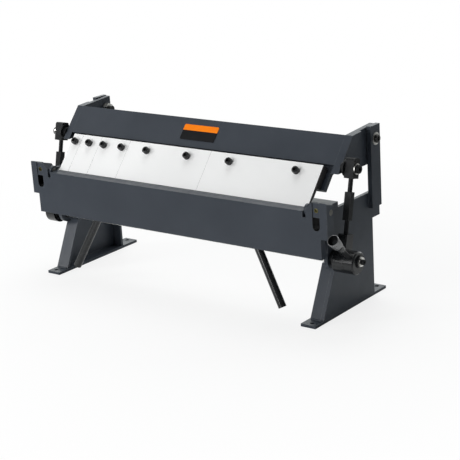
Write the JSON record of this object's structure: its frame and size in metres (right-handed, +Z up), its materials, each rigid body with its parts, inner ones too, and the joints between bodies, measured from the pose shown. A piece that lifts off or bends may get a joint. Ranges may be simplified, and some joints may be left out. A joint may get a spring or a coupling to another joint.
{
  "type": "box and pan brake",
  "caption": "Bench sheet metal folder: a hinged beam of clamping fingers over a bed, a folding leaf with two bar handles, and an eccentric shaft with a hand lever that works two clamp links.",
  "frame": {"origin": "centre of the four foot bolt holes, on the floor plane under the feet", "axes": "+X right as the operator faces the front, +Y to the rear, +Z up"},
  "size_m": [0.85, 0.2784, 0.365],
  "materials": {
    "painted_steel": "semi-gloss dark slate grey enamel",
    "bare_steel": "machined and lightly oiled",
    "finger_steel": "ground bright steel",
    "lever_steel": "dull drawn steel",
    "black_oxide": "satin black oxide",
    "zinc": "yellowed zinc plate",
    "grip_plastic": "moulded grey plastic",
    "label_black": "blank printed plate",
    "label_orange": "blank coloured band"
  },
  "bodies": {
    "frame": {"foot_right": "painted_steel", "foot_left": "painted_steel", "side_plate_right": "painted_steel", "side_plate_left": "painted_steel", "leg_flanges_right": "painted_steel", "leg_flanges_left": "painted_steel", "upright_right": "painted_steel", "upright_left": "painted_steel", "bed_plate": "painted_steel", "bed_front_web": "painted_steel", "bed_rear_web": "painted_steel", "hinge_bracket_right": "painted_steel", "hinge_bracket_left": "painted_steel", "shaft_bush_right": "black_oxide", "shaft_bush_left": "black_oxide", "pivot_bolts": "black_oxide", "pivot_washers": "bare_steel", "pivot_thrust_washers": "bare_steel", "pivot_nuts": "bare_steel"},
    "leaf": {"folding_leaf": "painted_steel", "pivot_block_right": "painted_steel", "pivot_block_left": "painted_steel", "hinge_pin_right": "bare_steel", "hinge_pin_left": "bare_steel", "pivot_block_screws": "zinc", "leaf_handle_right": "painted_steel", "leaf_handle_left": "painted_steel"},
    "beam": {"beam_face": "painted_steel", "beam_arm_right": "painted_steel", "beam_arm_left": "painted_steel", "finger_carrier": "painted_steel", "finger_1": "finger_steel", "finger_2": "finger_steel", "finger_3": "finger_steel", "finger_4": "finger_steel", "finger_5": "finger_steel", "finger_screws": "black_oxide", "blank_plate": "label_black", "blank_plate_band": "label_orange", "link_studs": "black_oxide", "stud_spacers": "black_oxide", "stud_washers": "lever_steel"},
    "link_right": {"link_block_right": "black_oxide", "turnbuckle_rods_right": "black_oxide", "turnbuckle_sleeve_right": "black_oxide", "link_eye_right": "black_oxide"},
    "link_left": {"link_block_left": "black_oxide", "turnbuckle_rods_left": "black_oxide", "turnbuckle_sleeve_left": "black_oxide", "link_eye_left": "black_oxide"},
    "shaft": {"eccentric_shaft": "bare_steel", "eccentric_right": "black_oxide", "eccentric_left": "black_oxide", "lever_hub": "black_oxide", "lever_rod": "lever_steel", "lever_grip": "grip_plastic", "shaft_end_screws": "black_oxide", "shaft_end_washers": "lever_steel"}
  },
  "joints": [
    {"name": "shaft_turn", "type": "hinge", "parent": "frame", "child": "shaft", "pos_m": [0, -0.05925, 0.1279], "axis": [-1, 0, 0], "range_deg": [0, 55]},
    {"name": "beam_lift", "type": "hinge", "parent": "frame", "child": "beam", "pos_m": [0, 0.0925, 0.337], "axis": [-1, 0, 0], "range_deg": [0, 2.41]},
    {"name": "link_right_swing", "type": "hinge", "parent": "beam", "child": "link_right", "pos_m": [0.392, -0.02196, 0.30408], "axis": [1, 0, 0], "range_deg": [0, 2.71]},
    {"name": "link_left_swing", "type": "hinge", "parent": "beam", "child": "link_left", "pos_m": [-0.392, -0.02196, 0.30408], "axis": [1, 0, 0], "range_deg": [0, 2.71]},
    {"name": "leaf_swing", "type": "hinge", "parent": "frame", "child": "leaf", "pos_m": [0, -0.109, 0.238], "axis": [-1, 0, 0], "range_deg": [0, 118]}
  ],
  "couplings": [
    {"joint": "beam_lift", "follows": "shaft_turn", "ratio": 0.04365},
    {"joint": "link_right_swing", "follows": "shaft_turn", "ratio": 0.04914},
    {"joint": "link_left_swing", "follows": "shaft_turn", "ratio": 0.04914}
  ]
}
